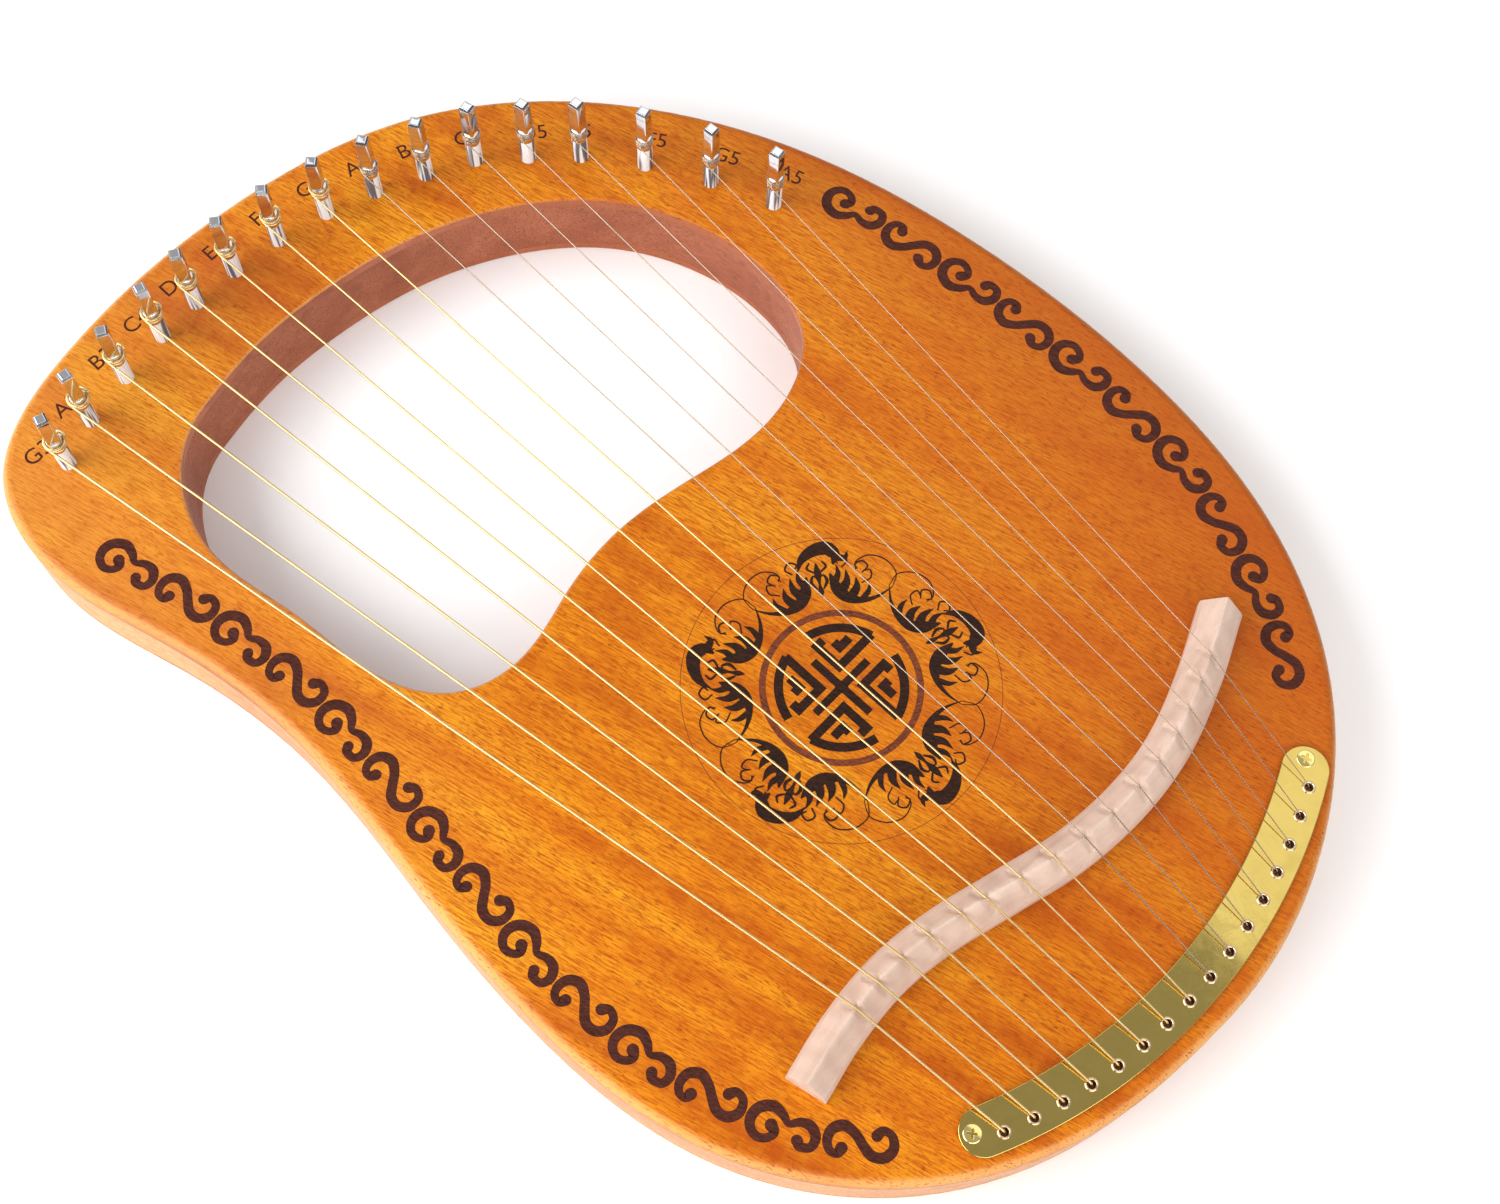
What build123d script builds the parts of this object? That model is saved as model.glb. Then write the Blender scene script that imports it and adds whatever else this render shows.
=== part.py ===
"""A sixteen-string lyre harp lying on its back: hollow wooden body, S-shaped bridge, brass string plate,
sixteen tuning pins that turn in the arched pin block, and a steel string from each pin to the plate.

Millimetres. The back rests on z = 0 and the soundboard faces +Z. +Y points to the pins, and +X to the short strings.
The origin is under the centre of the body's outline.
"""
from build123d import *
import math
import os

# ---- body
BODY_DEPTH = 33.0
BOARD = 4.0              # thickness of the soundboard and of the back
RIM_WALL = 7.0           # side wall round the outside
LINING_WALL = 5.0        # wall round the hand opening
FACE_ROUND = 3.6         # rounding of the body's outer edge at the face
BACK_ROUND = 3.0         # and at the back
OPENING_ROUND = 1.2      # rounding of the opening's edges
SOUND_HOLE_R = 20.0
SOUND_HOLE_XY = (0.0, -60.0)
GLUE_GAP = 0.02          # glue line between wooden pieces
OFFSET_POINTS = 48       # points that carry a curve moved in or out

FACE = BODY_DEPTH        # height of the soundboard's face
CORE_BOTTOM = BOARD
CORE_TOP = BODY_DEPTH - BOARD

OUTLINE = [
    (0, -217.4), (60, -206.4), (108.4, -173.6), (140.3, -122.6), (154, -55.4), (151.9, 20.2), (135.2, 93.5),
    (98.8, 157.1), (44.9, 200.4), (-25.6, 217.6), (-97.6, 213.9), (-143.8, 191.9), (-153.8, 158), (-144.5, 110),
    (-137.2, 55), (-144, -12), (-147.8, -66), (-137.4, -132), (-100.4, -184), (-52.4, -210),
]
OPENING = [
    (-79, 163.5), (-103.5, 147), (-112.8, 122), (-108.5, 85), (-103.5, 48), (-91, 29), (-68, 22.3), (-42, 28),
    (-14, 31.3), (14, 27.5), (38, 23.3), (63, 25.8), (82, 38), (90.5, 63), (88, 90), (73.5, 121), (46, 146),
    (12, 161.5), (-20, 167.5), (-47, 168.5),
]

# ---- blocks and braces inside the body
PIN_BLOCK_AREA = [(-160, 120), (-160, 230), (160, 230), (160, 60), (96, 60), (40, 120)]
TAIL_BLOCK_TOP = -172.0  # the tail block fills the body below this line
TAIL_BLOCK_LENGTH = 60.0
ACROSS = 400.0           # longer than the body is wide
BRACE_WIDTH = 12.0
BRACE_HEIGHT = 9.0
BRIDGE_BRACE_Y = -142.0
BACK_BRACE_Y = -20.0

# ---- bridge
BRIDGE_LINE = [(-106, -138.4), (-86, -134.4), (-64, -132.9), (-42, -135.8), (-18, -142.3), (6, -148.5),
               (31, -150.7), (54, -148.4), (78, -141), (101, -131.2)]
BRIDGE_WIDTH = 14.4
BRIDGE_WALL = 4.5        # height of its upright sides
BRIDGE_HEIGHT = 14.0
RIDGE_FLAT = 1.6         # width of the flat on top of the ridge
NOTCH_DEPTH = 0.9
NOTCH_LENGTH = 6.0
NOTCH_CLEARANCE = 0.03
GROOVE_SPARE = 0.3       # the notch's groove is this much wider than its string

# ---- brass string plate: an arc band, screwed down at both ends
PLATE_THICK = 1.5
PLATE_HALF = 81.4        # half the distance between the ends of its lower arc
PLATE_LOWER = (-192.0, -210.6)   # y of the lower arc at its ends and in the middle
PLATE_UPPER_HALF = 74.7
PLATE_UPPER = (-178.0, -194.4)
PLATE_TIP = (85.0, -181.7)       # the arcs run smoothly into round ends through here
PLATE_BEVEL = 0.3
HOLE_ARC_R = 184.0
HOLE_ROW_BOTTOM = -205.1
HOLE_PITCH = 10.15
HOLE_R = 1.2
LIP_R = 1.75             # centre radius of the rolled lip round each hole
LIP_ROUND = 0.4
SCREW_XY = (80.9, -183.0)
SCREW_R = 1.6
SCREW_HEAD_R = 3.1
SCREW_LENGTH = 15.0
SCREW_DOME = 0.5
SCREW_CLEARANCE = 0.05
SLOT_LENGTH = 3.4        # cross slot in the screw's head
SLOT_WIDTH = 0.7
SLOT_DEPTH = 0.8
SLOT_TURN = 20.0

# ---- tuning pins
PIN_R = 2.7
PIN_CLEARANCE = 0.05
PIN_DEPTH = 22.0         # length inside the wood
PIN_ROUND_TOP = 18.0     # the shaft is round up to here above the face
PIN_HEIGHT = 33.0
SQUARE_FOOT = 2.2        # half width of the square head where it starts
SQUARE_TOP = 2.05
CORNER_R = 2.95          # the square's corners are rounded to this distance from the pin's axis
PIN_CHAMFER = 0.6
PIN_TIP_CHAMFER = 1.2

# ---- string windings on the pins
COIL_START = 14.5        # height above the face of the lowest winding
COIL_HEIGHT = 3.5
COIL_GAP = 0.05
STRING_PAST_PIN = 1.5    # the string runs this far past the point where it meets the winding
STRING_RISE = 1.0        # the string rises this far above the plate before it bends
PLATE_BEND = 1.4         # radius of a string's bend at the plate
BRIDGE_BEND = 4.0        # and over the bridge

# ---- ball ends under the plate
BALL_R = 1.9
BALL_HEIGHT = 3.0
BALL_POCKET_R = 2.2
BALL_ROUND = 0.8

# One row per string, from the longest: note, pin x, pin y, notch x on the bridge, string diameter
STRINGS = [
    ("g3", -124.8, 179.7, -79.6, 0.95),
    ("a3", -109.3, 186.5, -69.2, 0.92),
    ("b3", -90.6, 190.5, -58.6, 0.88),
    ("c4", -71.7, 193.7, -47.9, 0.84),
    ("d4", -55.2, 195.2, -36.2, 0.80),
    ("e4", -37.8, 195.1, -27.4, 0.76),
    ("f4", -19.0, 193.5, -15.1, 0.72),
    ("g4", 0.0, 189.7, -3.1, 0.68),
    ("a4", 17.7, 183.9, 8.3, 0.46),
    ("b4", 35.1, 176.3, 20.2, 0.44),
    ("c5", 51.5, 168.2, 32.5, 0.42),
    ("d5", 65.5, 155.7, 43.5, 0.40),
    ("e5", 78.7, 142.6, 54.6, 0.38),
    ("f5", 92.2, 123.8, 63.4, 0.36),
    ("g5", 103.5, 102.3, 73.5, 0.34),
    ("a5", 112.5, 80.0, 82.3, 0.32),
]


def loop(points, grow=0.0):
    """A face inside a smooth closed curve through the points, which go anticlockwise, or that curve moved outwards."""
    curve = Spline(*points, periodic=True)
    if grow == 0:
        return make_face(curve)
    moved = []
    for step in range(OFFSET_POINTS):
        place = step / OFFSET_POINTS
        outward = (curve % place).rotate(Axis.Z, -90)
        moved.append(curve @ place + outward * grow)
    return make_face(Spline(*moved, periodic=True))


def slab(face, bottom, top):
    """The flat face as a solid from one height to another."""
    return extrude(Pos(0, 0, bottom) * face, top - bottom)


def upright(x, y, radius, bottom, top):
    """A vertical cylinder."""
    return Pos(x, y, bottom) * Cylinder(radius, top - bottom, align=(Align.CENTER, Align.CENTER, Align.MIN))


def edges_at(part, height):
    """The part's edges that lie at that height."""
    return part.edges().filter_by_position(Axis.Z, height - 0.01, height + 0.01)


outline = loop(OUTLINE)
opening = loop(OPENING)


def hole_xy(index):
    """Centre of a string's hole in the plate."""
    angle = (index - (len(STRINGS) - 1) / 2) * HOLE_PITCH / HOLE_ARC_R
    centre_y = HOLE_ROW_BOTTOM + HOLE_ARC_R
    return HOLE_ARC_R * math.sin(angle), centre_y - HOLE_ARC_R * math.cos(angle)


bridge_line = Spline(*BRIDGE_LINE)


def ridge_point(x):
    """The point of the bridge's ridge at that x, found by halving."""
    low, high = 0.0, 1.0
    for _ in range(40):
        middle = (low + high) / 2
        if (bridge_line @ middle).X < x:
            low = middle
        else:
            high = middle
    point = bridge_line @ low
    return point.X, point.Y


def string_points(index):
    """The corners of a string: ball end, plate hole, bridge notch and the end beside its pin."""
    note, pin_x, pin_y, notch_x, diameter = STRINGS[index]
    hole_x, hole_y = hole_xy(index)
    notch_y = ridge_point(notch_x)[1]
    winding = PIN_R + COIL_GAP + diameter / 2
    away = math.hypot(pin_x - notch_x, pin_y - notch_y)
    heading = math.atan2(pin_y - notch_y, pin_x - notch_x) + math.asin(winding / away)
    run = math.sqrt(away ** 2 - winding ** 2) + STRING_PAST_PIN
    end_x = notch_x + run * math.cos(heading)
    end_y = notch_y + run * math.sin(heading)
    return [
        (hole_x, hole_y, FACE),
        (hole_x, hole_y, FACE + PLATE_THICK + STRING_RISE),
        (notch_x, notch_y, FACE + BRIDGE_HEIGHT - NOTCH_DEPTH + COIL_GAP + diameter / 2),
        (end_x, end_y, FACE + COIL_START - COIL_GAP - diameter / 2),
    ]


# ---- wooden body

def drilled_for_pins(part, bottom):
    """The piece with the bores that the tuning pins turn in."""
    for _, pin_x, pin_y, _, _ in STRINGS:
        part -= upright(pin_x, pin_y, PIN_R + PIN_CLEARANCE, bottom, FACE + 1)
    return part


def board(bottom, top, outer_height, outer_round):
    """A board in the plan of the body, its outside and its opening rounded at that height."""
    part = slab(outline - opening, bottom, top)
    part = fillet(edges_at(part, outer_height).sort_by(Edge.length)[-1], outer_round)
    return fillet(edges_at(part, outer_height).sort_by(Edge.length)[0], OPENING_ROUND)


def soundboard():
    part = board(CORE_TOP, FACE, FACE, FACE_ROUND)
    part = drilled_for_pins(part, CORE_TOP - 1)
    for index in range(len(STRINGS)):
        part -= upright(*hole_xy(index), BALL_POCKET_R, CORE_TOP - 1, FACE + 1)
    for side in (-1, 1):
        part -= upright(side * SCREW_XY[0], SCREW_XY[1], SCREW_R, CORE_TOP - 1, FACE + 1)
    return part


def back_board():
    part = board(0, BOARD, 0, BACK_ROUND)
    return part - upright(*SOUND_HOLE_XY, SOUND_HOLE_R, -1, BOARD + 1)


def core(face):
    """A piece glued between the soundboard and the back."""
    return slab(face, CORE_BOTTOM + GLUE_GAP, CORE_TOP - GLUE_GAP)


def outer_rim():
    return core(outline - loop(OUTLINE, -RIM_WALL))


def opening_lining():
    return core(loop(OPENING, LINING_WALL) - opening)


def inner_room():
    """The plan of the hollow between the rim and the lining."""
    return loop(OUTLINE, -RIM_WALL - GLUE_GAP) - loop(OPENING, LINING_WALL + GLUE_GAP)


def pin_block():
    area = make_face(Polyline(*PIN_BLOCK_AREA, close=True))
    part = core(inner_room() & area)
    return drilled_for_pins(part, FACE - PIN_DEPTH - 1)


def tail_block():
    area = Pos(0, TAIL_BLOCK_TOP - TAIL_BLOCK_LENGTH / 2) * Rectangle(ACROSS, TAIL_BLOCK_LENGTH)
    part = core(inner_room() & area)
    for side in (-1, 1):
        part -= upright(side * SCREW_XY[0], SCREW_XY[1], SCREW_R, FACE - SCREW_LENGTH - 1, FACE + 1)
    return part


def brace(y, bottom):
    """A bar across the hollow of the body, with its ends tight against the rim."""
    bar = Pos(0, y) * Rectangle(ACROSS, BRACE_WIDTH)
    return slab(inner_room() & bar, bottom, bottom + BRACE_HEIGHT)


# ---- bridge and string plate

def bridge():
    half, flat = BRIDGE_WIDTH / 2, RIDGE_FLAT / 2
    section = Polyline((-half, 0), (half, 0), (half, BRIDGE_WALL), (flat, BRIDGE_HEIGHT),
                       (-flat, BRIDGE_HEIGHT), (-half, BRIDGE_WALL), close=True)
    start = Plane(origin=bridge_line @ 0, x_dir=(bridge_line % 0).rotate(Axis.Z, 90), z_dir=bridge_line % 0)
    part = sweep(start * make_face(section), bridge_line)
    part = Pos(0, 0, FACE) * part
    for index, (note, pin_x, pin_y, notch_x, diameter) in enumerate(STRINGS):
        x, y = ridge_point(notch_x)
        turn = math.degrees(math.atan2(pin_y - y, pin_x - x))
        groove = Box(NOTCH_LENGTH, diameter + GROOVE_SPARE, 2 * NOTCH_DEPTH - diameter)
        part -= Pos(x, y, FACE + BRIDGE_HEIGHT) * Rot(0, 0, turn) * groove
        part -= string(index, NOTCH_CLEARANCE)
    return part


def plate_outline():
    lower_end, lower_middle = PLATE_LOWER
    upper_end, upper_middle = PLATE_UPPER
    lower = ThreePointArc((-PLATE_HALF, lower_end), (0, lower_middle), (PLATE_HALF, lower_end))
    upper = ThreePointArc((PLATE_UPPER_HALF, upper_end), (0, upper_middle), (-PLATE_UPPER_HALF, upper_end))
    right = ThreePointArc(lower @ 1, PLATE_TIP, upper @ 0)
    left = ThreePointArc(upper @ 1, (-PLATE_TIP[0], PLATE_TIP[1]), lower @ 0)
    return make_face([lower, right, upper, left])


def string_plate():
    top = FACE + PLATE_THICK
    part = slab(plate_outline(), FACE, top)
    part = chamfer(edges_at(part, top), PLATE_BEVEL)
    for index in range(len(STRINGS)):
        x, y = hole_xy(index)
        part += Pos(x, y, top) * Torus(LIP_R, LIP_ROUND)
        part -= upright(x, y, HOLE_R, FACE - 1, top + 1)
        part -= Pos(x, y, top) * Cone(HOLE_R, LIP_R, LIP_R - HOLE_R)
    for side in (-1, 1):
        x, y = side * SCREW_XY[0], SCREW_XY[1]
        part -= upright(x, y, SCREW_R + SCREW_CLEARANCE, FACE - 1, top + 1)
        part -= Pos(x, y, top) * Rot(180, 0, 0) * screw_cone(SCREW_CLEARANCE)
    return part


def screw_cone(extra):
    """The countersunk part of a screw head, with its wide end down."""
    return Cone(SCREW_HEAD_R + extra, SCREW_R + extra, PLATE_THICK, align=(Align.CENTER, Align.CENTER, Align.MIN))


def plate_screws():
    top = FACE + PLATE_THICK
    sphere_r = (SCREW_HEAD_R ** 2 + SCREW_DOME ** 2) / (2 * SCREW_DOME)
    screws = []
    for side in (-1, 1):
        x, y = side * SCREW_XY[0], SCREW_XY[1]
        shank = upright(x, y, SCREW_R - SCREW_CLEARANCE, FACE - SCREW_LENGTH, top)
        cone = Pos(x, y, top) * Rot(180, 0, 0) * screw_cone(0)
        dome = Pos(x, y, top + SCREW_DOME - sphere_r) * Sphere(sphere_r)
        dome &= upright(x, y, SCREW_HEAD_R, top, top + 1)
        screw = shank + cone + dome
        for turn in (SLOT_TURN, SLOT_TURN + 90):
            slot = Box(SLOT_LENGTH, SLOT_WIDTH, 2 * SLOT_DEPTH)
            screw -= Pos(x, y, top + SCREW_DOME) * Rot(0, 0, turn) * slot
        screws.append(screw)
    return Compound(children=screws)


# ---- pins, windings and strings

def pin_square(half, height):
    """A square across the pin at that height above the face."""
    return Pos(0, 0, height) * Rectangle(2 * half, 2 * half)


def tuning_pin(index):
    _, x, y, _, _ = STRINGS[index]
    shaft = upright(0, 0, PIN_R, -PIN_DEPTH, PIN_ROUND_TOP)
    shaft = chamfer(edges_at(shaft, -PIN_DEPTH), PIN_TIP_CHAMFER)
    squares = [
        pin_square(SQUARE_FOOT, PIN_ROUND_TOP),
        pin_square(SQUARE_TOP, PIN_HEIGHT - PIN_CHAMFER),
        pin_square(SQUARE_TOP - PIN_CHAMFER, PIN_HEIGHT),
    ]
    head = loft(squares, ruled=True) & upright(0, 0, CORNER_R, PIN_ROUND_TOP, PIN_HEIGHT)
    return Pos(x, y, FACE) * (shaft + head)


def coil(index):
    """The string's windings on the pin, as a sleeve."""
    _, x, y, _, diameter = STRINGS[index]
    inner = PIN_R + COIL_GAP
    sleeve = upright(x, y, inner + diameter, FACE + COIL_START, FACE + COIL_START + COIL_HEIGHT)
    return sleeve - upright(x, y, inner, FACE, FACE + PIN_HEIGHT)


def string(index, extra=0.0):
    """A string with its bends at the plate and at the bridge. Extra is added to its radius."""
    radius = STRINGS[index][4] / 2 + extra
    path = FilletPolyline(*string_points(index), radius=[PLATE_BEND, BRIDGE_BEND])
    section = Plane(origin=path @ 0, z_dir=path % 0) * Circle(radius)
    return sweep(section, path)


def ball_ends():
    balls = []
    for index in range(len(STRINGS)):
        ball = upright(*hole_xy(index), BALL_R, FACE - BALL_HEIGHT - GLUE_GAP, FACE - GLUE_GAP)
        balls.append(fillet(ball.edges(), BALL_ROUND))
    return Compound(children=balls)


def save(name, part):
    export_step(part, f"parts/{name}.step")


os.makedirs("parts", exist_ok=True)
save("soundboard", soundboard())
save("back_board", back_board())
save("outer_rim", outer_rim())
save("opening_lining", opening_lining())
save("pin_block", pin_block())
save("tail_block", tail_block())
save("bridge_brace", brace(BRIDGE_BRACE_Y, CORE_TOP - GLUE_GAP - BRACE_HEIGHT))
save("back_brace", brace(BACK_BRACE_Y, CORE_BOTTOM + GLUE_GAP))
save("bridge", bridge())
save("string_plate", string_plate())
save("plate_screws", plate_screws())
save("ball_ends", ball_ends())
for number, row in enumerate(STRINGS):
    save(f"tuning_pin_{row[0]}", tuning_pin(number))
    save(f"coil_{row[0]}", coil(number))
    save(f"string_{row[0]}", string(number))
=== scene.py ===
import math

import bmesh
import bpy
from mathutils import Matrix, Vector


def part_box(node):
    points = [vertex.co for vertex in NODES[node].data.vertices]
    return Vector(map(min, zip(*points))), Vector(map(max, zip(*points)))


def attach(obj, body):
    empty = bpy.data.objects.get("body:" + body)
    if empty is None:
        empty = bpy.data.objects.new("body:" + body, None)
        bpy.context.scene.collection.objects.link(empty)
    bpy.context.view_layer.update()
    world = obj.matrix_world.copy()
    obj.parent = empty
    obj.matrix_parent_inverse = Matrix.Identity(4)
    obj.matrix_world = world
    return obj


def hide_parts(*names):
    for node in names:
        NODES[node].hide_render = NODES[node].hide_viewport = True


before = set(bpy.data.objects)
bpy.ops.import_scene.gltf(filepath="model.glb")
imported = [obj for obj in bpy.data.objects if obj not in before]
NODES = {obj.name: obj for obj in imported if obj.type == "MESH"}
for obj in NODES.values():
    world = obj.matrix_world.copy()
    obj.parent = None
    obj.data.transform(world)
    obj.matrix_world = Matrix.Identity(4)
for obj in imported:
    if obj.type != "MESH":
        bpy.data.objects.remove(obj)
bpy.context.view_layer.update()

MM = 0.001
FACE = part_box("soundboard")[1][2]        # height of the soundboard's face
BOARD_EDGES = (4, 29)                    # heights in mm where a board meets the side wall

# String diameters in mm, and the strings' notes, from the longest string to the shortest
STRING_D = [0.95, 0.92, 0.88, 0.84, 0.80, 0.76, 0.72, 0.68, 0.46, 0.44, 0.42, 0.40, 0.38, 0.36, 0.34, 0.32]
PITCHES = ["g3", "a3", "b3", "c4", "d4", "e4", "f4", "g4", "a4", "b4", "c5", "d5", "e5", "f5", "g5", "a5"]
WOUND = PITCHES[:8]


# ---------------- camera, light and floor

CAMERA_PLACE = (-0.19506, -0.1792, 0.673)
CAMERA_RIGHT = (0.68783, -0.72549, 0.0235)
CAMERA_UP = (0.66999, 0.64700, 0.3640)
CAMERA_BACK = (-0.27928, -0.23463, 0.9311)
SENSOR_WIDTH = 36
LENS = 50.4
WORLD_COLOUR = (0.97, 0.98, 1.0, 1)
WORLD_STRENGTH = 0.44
FLOOR_HALF = 4.0            # half the width of the floor, in metres
FLOOR_DROP = 0.2 * MM       # how far the floor lies below the harp's back
PAPER_WHITE = (0.97, 0.97, 0.97, 1)


def camera():
    """The camera, with its own x, y and z axes along CAMERA_RIGHT, CAMERA_UP and CAMERA_BACK."""
    data = bpy.data.cameras.new("camera")
    data.sensor_width = SENSOR_WIDTH
    data.lens = LENS
    data.clip_start = 0.01
    obj = bpy.data.objects.new("camera", data)
    bpy.context.scene.collection.objects.link(obj)
    turn = Matrix((CAMERA_RIGHT, CAMERA_UP, CAMERA_BACK)).transposed()
    obj.matrix_world = Matrix.Translation(CAMERA_PLACE) @ turn.to_4x4()
    bpy.context.scene.camera = obj


def softbox(name, location, target, size, power):
    """A white rectangular light of that size in metres and power in watts, aimed at the target."""
    data = bpy.data.lights.new(name, "AREA")
    data.shape = "RECTANGLE"
    data.size, data.size_y = size
    data.energy = power
    obj = bpy.data.objects.new(name, data)
    bpy.context.scene.collection.objects.link(obj)
    obj.location = location
    aim = Vector(location) - Vector(target)
    obj.rotation_euler = aim.to_track_quat("Z", "Y").to_euler()


def studio():
    """A pale room with three soft lights and a white floor."""
    world = bpy.data.worlds.new("studio")
    world.use_nodes = True
    sky = world.node_tree.nodes["Background"]
    sky.inputs["Color"].default_value = WORLD_COLOUR
    sky.inputs["Strength"].default_value = WORLD_STRENGTH
    bpy.context.scene.world = world
    softbox("right", (1.40, 0.1, 1.5), (1.40, 0.1, 0.0), (1.8, 2.6), 13)
    softbox("left", (-1.4, 0.8, 1.2), (0.0, 0.0, 0.0), (2.2, 1.6), 52)
    softbox("front", (-0.8, -1.6, 1.1), (0.0, 0.0, 0.0), (2.2, 1.2), 25)
    view = bpy.context.scene.view_settings
    view.view_transform = "Standard"
    view.look = "None"

    mesh = bpy.data.meshes.new("floor")
    corners = [(x * FLOOR_HALF, y * FLOOR_HALF, 0) for x, y in ((-1, -1), (1, -1), (1, 1), (-1, 1))]
    mesh.from_pydata(corners, [], [(0, 1, 2, 3)])
    floor = bpy.data.objects.new("floor", mesh)
    bpy.context.scene.collection.objects.link(floor)
    floor.location.z = -FLOOR_DROP
    paper = Finish("paper")
    paper.shader_set(Roughness=0.9)
    paper.shader.inputs["Base Color"].default_value = PAPER_WHITE
    mesh.materials.append(paper.material)


# ---------------- materials

class Finish:
    """A material with helpers that add its nodes. Places are in the frame; helpers' sizes are in mm."""

    def __init__(self, name):
        self.material = bpy.data.materials.new(name)
        self.material.use_nodes = True
        self.tree = self.material.node_tree
        self.shader = self.tree.nodes["Principled BSDF"]
        self.where = None

    def shader_set(self, **values):
        """Uniform values of the shader's inputs, by name with _ for a space."""
        for key, value in values.items():
            self.shader.inputs[key.replace("_", " ")].default_value = value

    def plug(self, socket, value):
        """Feeds an input from another node's output, or sets it to a plain value."""
        if isinstance(value, bpy.types.NodeSocket):
            self.tree.links.new(value, socket)
        else:
            socket.default_value = value

    def node(self, kind, settings=None, **inputs):
        """A new node of a kind with those settings and inputs."""
        made = self.tree.nodes.new("ShaderNode" + kind)
        for key, value in (settings or {}).items():
            setattr(made, key, value)
        for key, value in inputs.items():
            self.plug(made.inputs[key.replace("_", " ")], value)
        return made

    def stretch(self, across, along, deep, turn=0.0):
        """The place in a grain with those sizes in mm: across it, along it and into the depth."""
        if self.where is None:
            self.where = self.node("TexCoord").outputs["Object"]
        turned = self.node("Mapping", {"vector_type": "TEXTURE"}, Vector=self.where,
                           Rotation=(0, 0, math.radians(turn)))
        scale = (1 / (across * MM), 1 / (along * MM), 1 / (deep * MM))
        grain = self.node("Mapping", {"vector_type": "POINT"}, Vector=turned.outputs[0], Scale=scale)
        return grain.outputs[0]

    def noise(self, vector, detail=2.0, roughness=0.5, distortion=0.0):
        """Smooth noise from 0 to 1."""
        return self.node("TexNoise", Vector=vector, Scale=1.0, Detail=detail, Roughness=roughness,
                         Distortion=distortion).outputs["Fac"]

    def span(self, value, low, high, to_low=0.0, to_high=1.0):
        """The value's stretch from low to high, clamped and taken to another range."""
        made = self.node("MapRange", Value=value)
        for key, number in (("From Min", low), ("From Max", high), ("To Min", to_low), ("To Max", to_high)):
            made.inputs[key].default_value = number
        return made.outputs[0]

    def ramp(self, value, *stops):
        """A colour by value, from stops of a value and a colour."""
        made = self.node("ValToRGB", Fac=value)
        marks = made.color_ramp.elements
        while len(marks) < len(stops):
            marks.new(1.0)
        for mark, (at, colour) in zip(marks, stops):
            mark.position = at
            mark.color = (*colour, 1)
        return made.outputs[0]

    def mix(self, amount, first, second):
        """The first colour, with that much of the second."""
        made = self.node("Mix", {"data_type": "RGBA"})
        self.plug(made.inputs[0], amount)
        for socket, value in ((made.inputs[6], first), (made.inputs[7], second)):
            self.plug(socket, value if isinstance(value, bpy.types.NodeSocket) else (*value, 1))
        return made.outputs[2]

    def calc(self, operation, first, second=0.0):
        """Arithmetic on two values, by the Math node's own name for the operation."""
        made = self.node("Math", {"operation": operation})
        self.plug(made.inputs[0], first)
        self.plug(made.inputs[1], second)
        return made.outputs[0]

    def relief(self, height, depth, normal=None):
        """Bumps as deep as that many mm where the height is 1."""
        made = self.node("Bump", Height=height, Distance=depth * MM, Strength=1.0)
        if normal is not None:
            self.plug(made.inputs["Normal"], normal)
        return made.outputs[0]

    def joint(self, colour, strength):
        """The colour with a dark line where a board meets the side wall."""
        height = self.node("SeparateXYZ", Vector=self.where).outputs[2]
        lines = []
        for level in BOARD_EDGES:
            away = self.calc("ABSOLUTE", self.calc("SUBTRACT", height, level * MM))
            lines.append(self.span(away, SEAM_CORE * MM, SEAM_HALF * MM, 1.0, 0.0))
        line = self.calc("MULTIPLY", self.calc("MAXIMUM", *lines), strength)
        return self.mix(line, colour, SEAM_TONE)

    def soft_edges(self, radius):
        """Edges that catch the light as if they were rounded to that radius in mm."""
        return self.node("Bevel", {"samples": 6}, Radius=radius * MM).outputs[0]


SEAM_CORE, SEAM_HALF = 0.3, 0.75    # half widths in mm of the joint's darkest part and of the whole line
SEAM_TONE = (0.14, 0.036, 0.008)
SEAM_STRENGTH = 0.85

# Wood tones, each from light to dark
TONE_STOPS = (0.36, 0.5, 0.64)
# The side wall's mahogany with painted light: paler and pinker than the face, as if washed by bright white
# surroundings
SIDE_TONES = ((0.76, 0.37, 0.12), (0.67, 0.29, 0.085), (0.52, 0.19, 0.05))
# A board's cut edge and rounding: its edge tone, made paler with a painted highlight
BOARD_EDGE_TONES = ((0.72, 0.36, 0.12), (0.64, 0.29, 0.08), (0.54, 0.21, 0.05))
# The lining and the opening's edges: painted shade makes them darker, and a painted reflection of the white
# floor pinker
OPENING_TONES = ((0.47, 0.155, 0.075), (0.39, 0.12, 0.055), (0.29, 0.08, 0.035))
# Painted shade: the face darker and redder at its treble edge
TREBLE_PAINTED_SHADE = (0.30, 0.065, 0.010)
# Painted light: the face paler and pinker, with fainter grain, at its bass top
BASS_PAINTED_LIGHT = (0.54, 0.215, 0.058)
# Painted shade: board edges darker towards the treble side
TREBLE_EDGE_PAINTED_SHADE = (0.40, 0.12, 0.03)
# Painted highlight on the edges' rounding at the bass side
LIT_EDGE = (0.84, 0.42, 0.13)

# An ellipse about the hand opening, in mm: it tells the opening's edge from the outer edge
HAND_MIDDLE = (-12, 95)
HAND_REACH = (118, 82)

LACQUER_COAT = 0.06
SATIN_SPECULAR = 0.12


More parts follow.
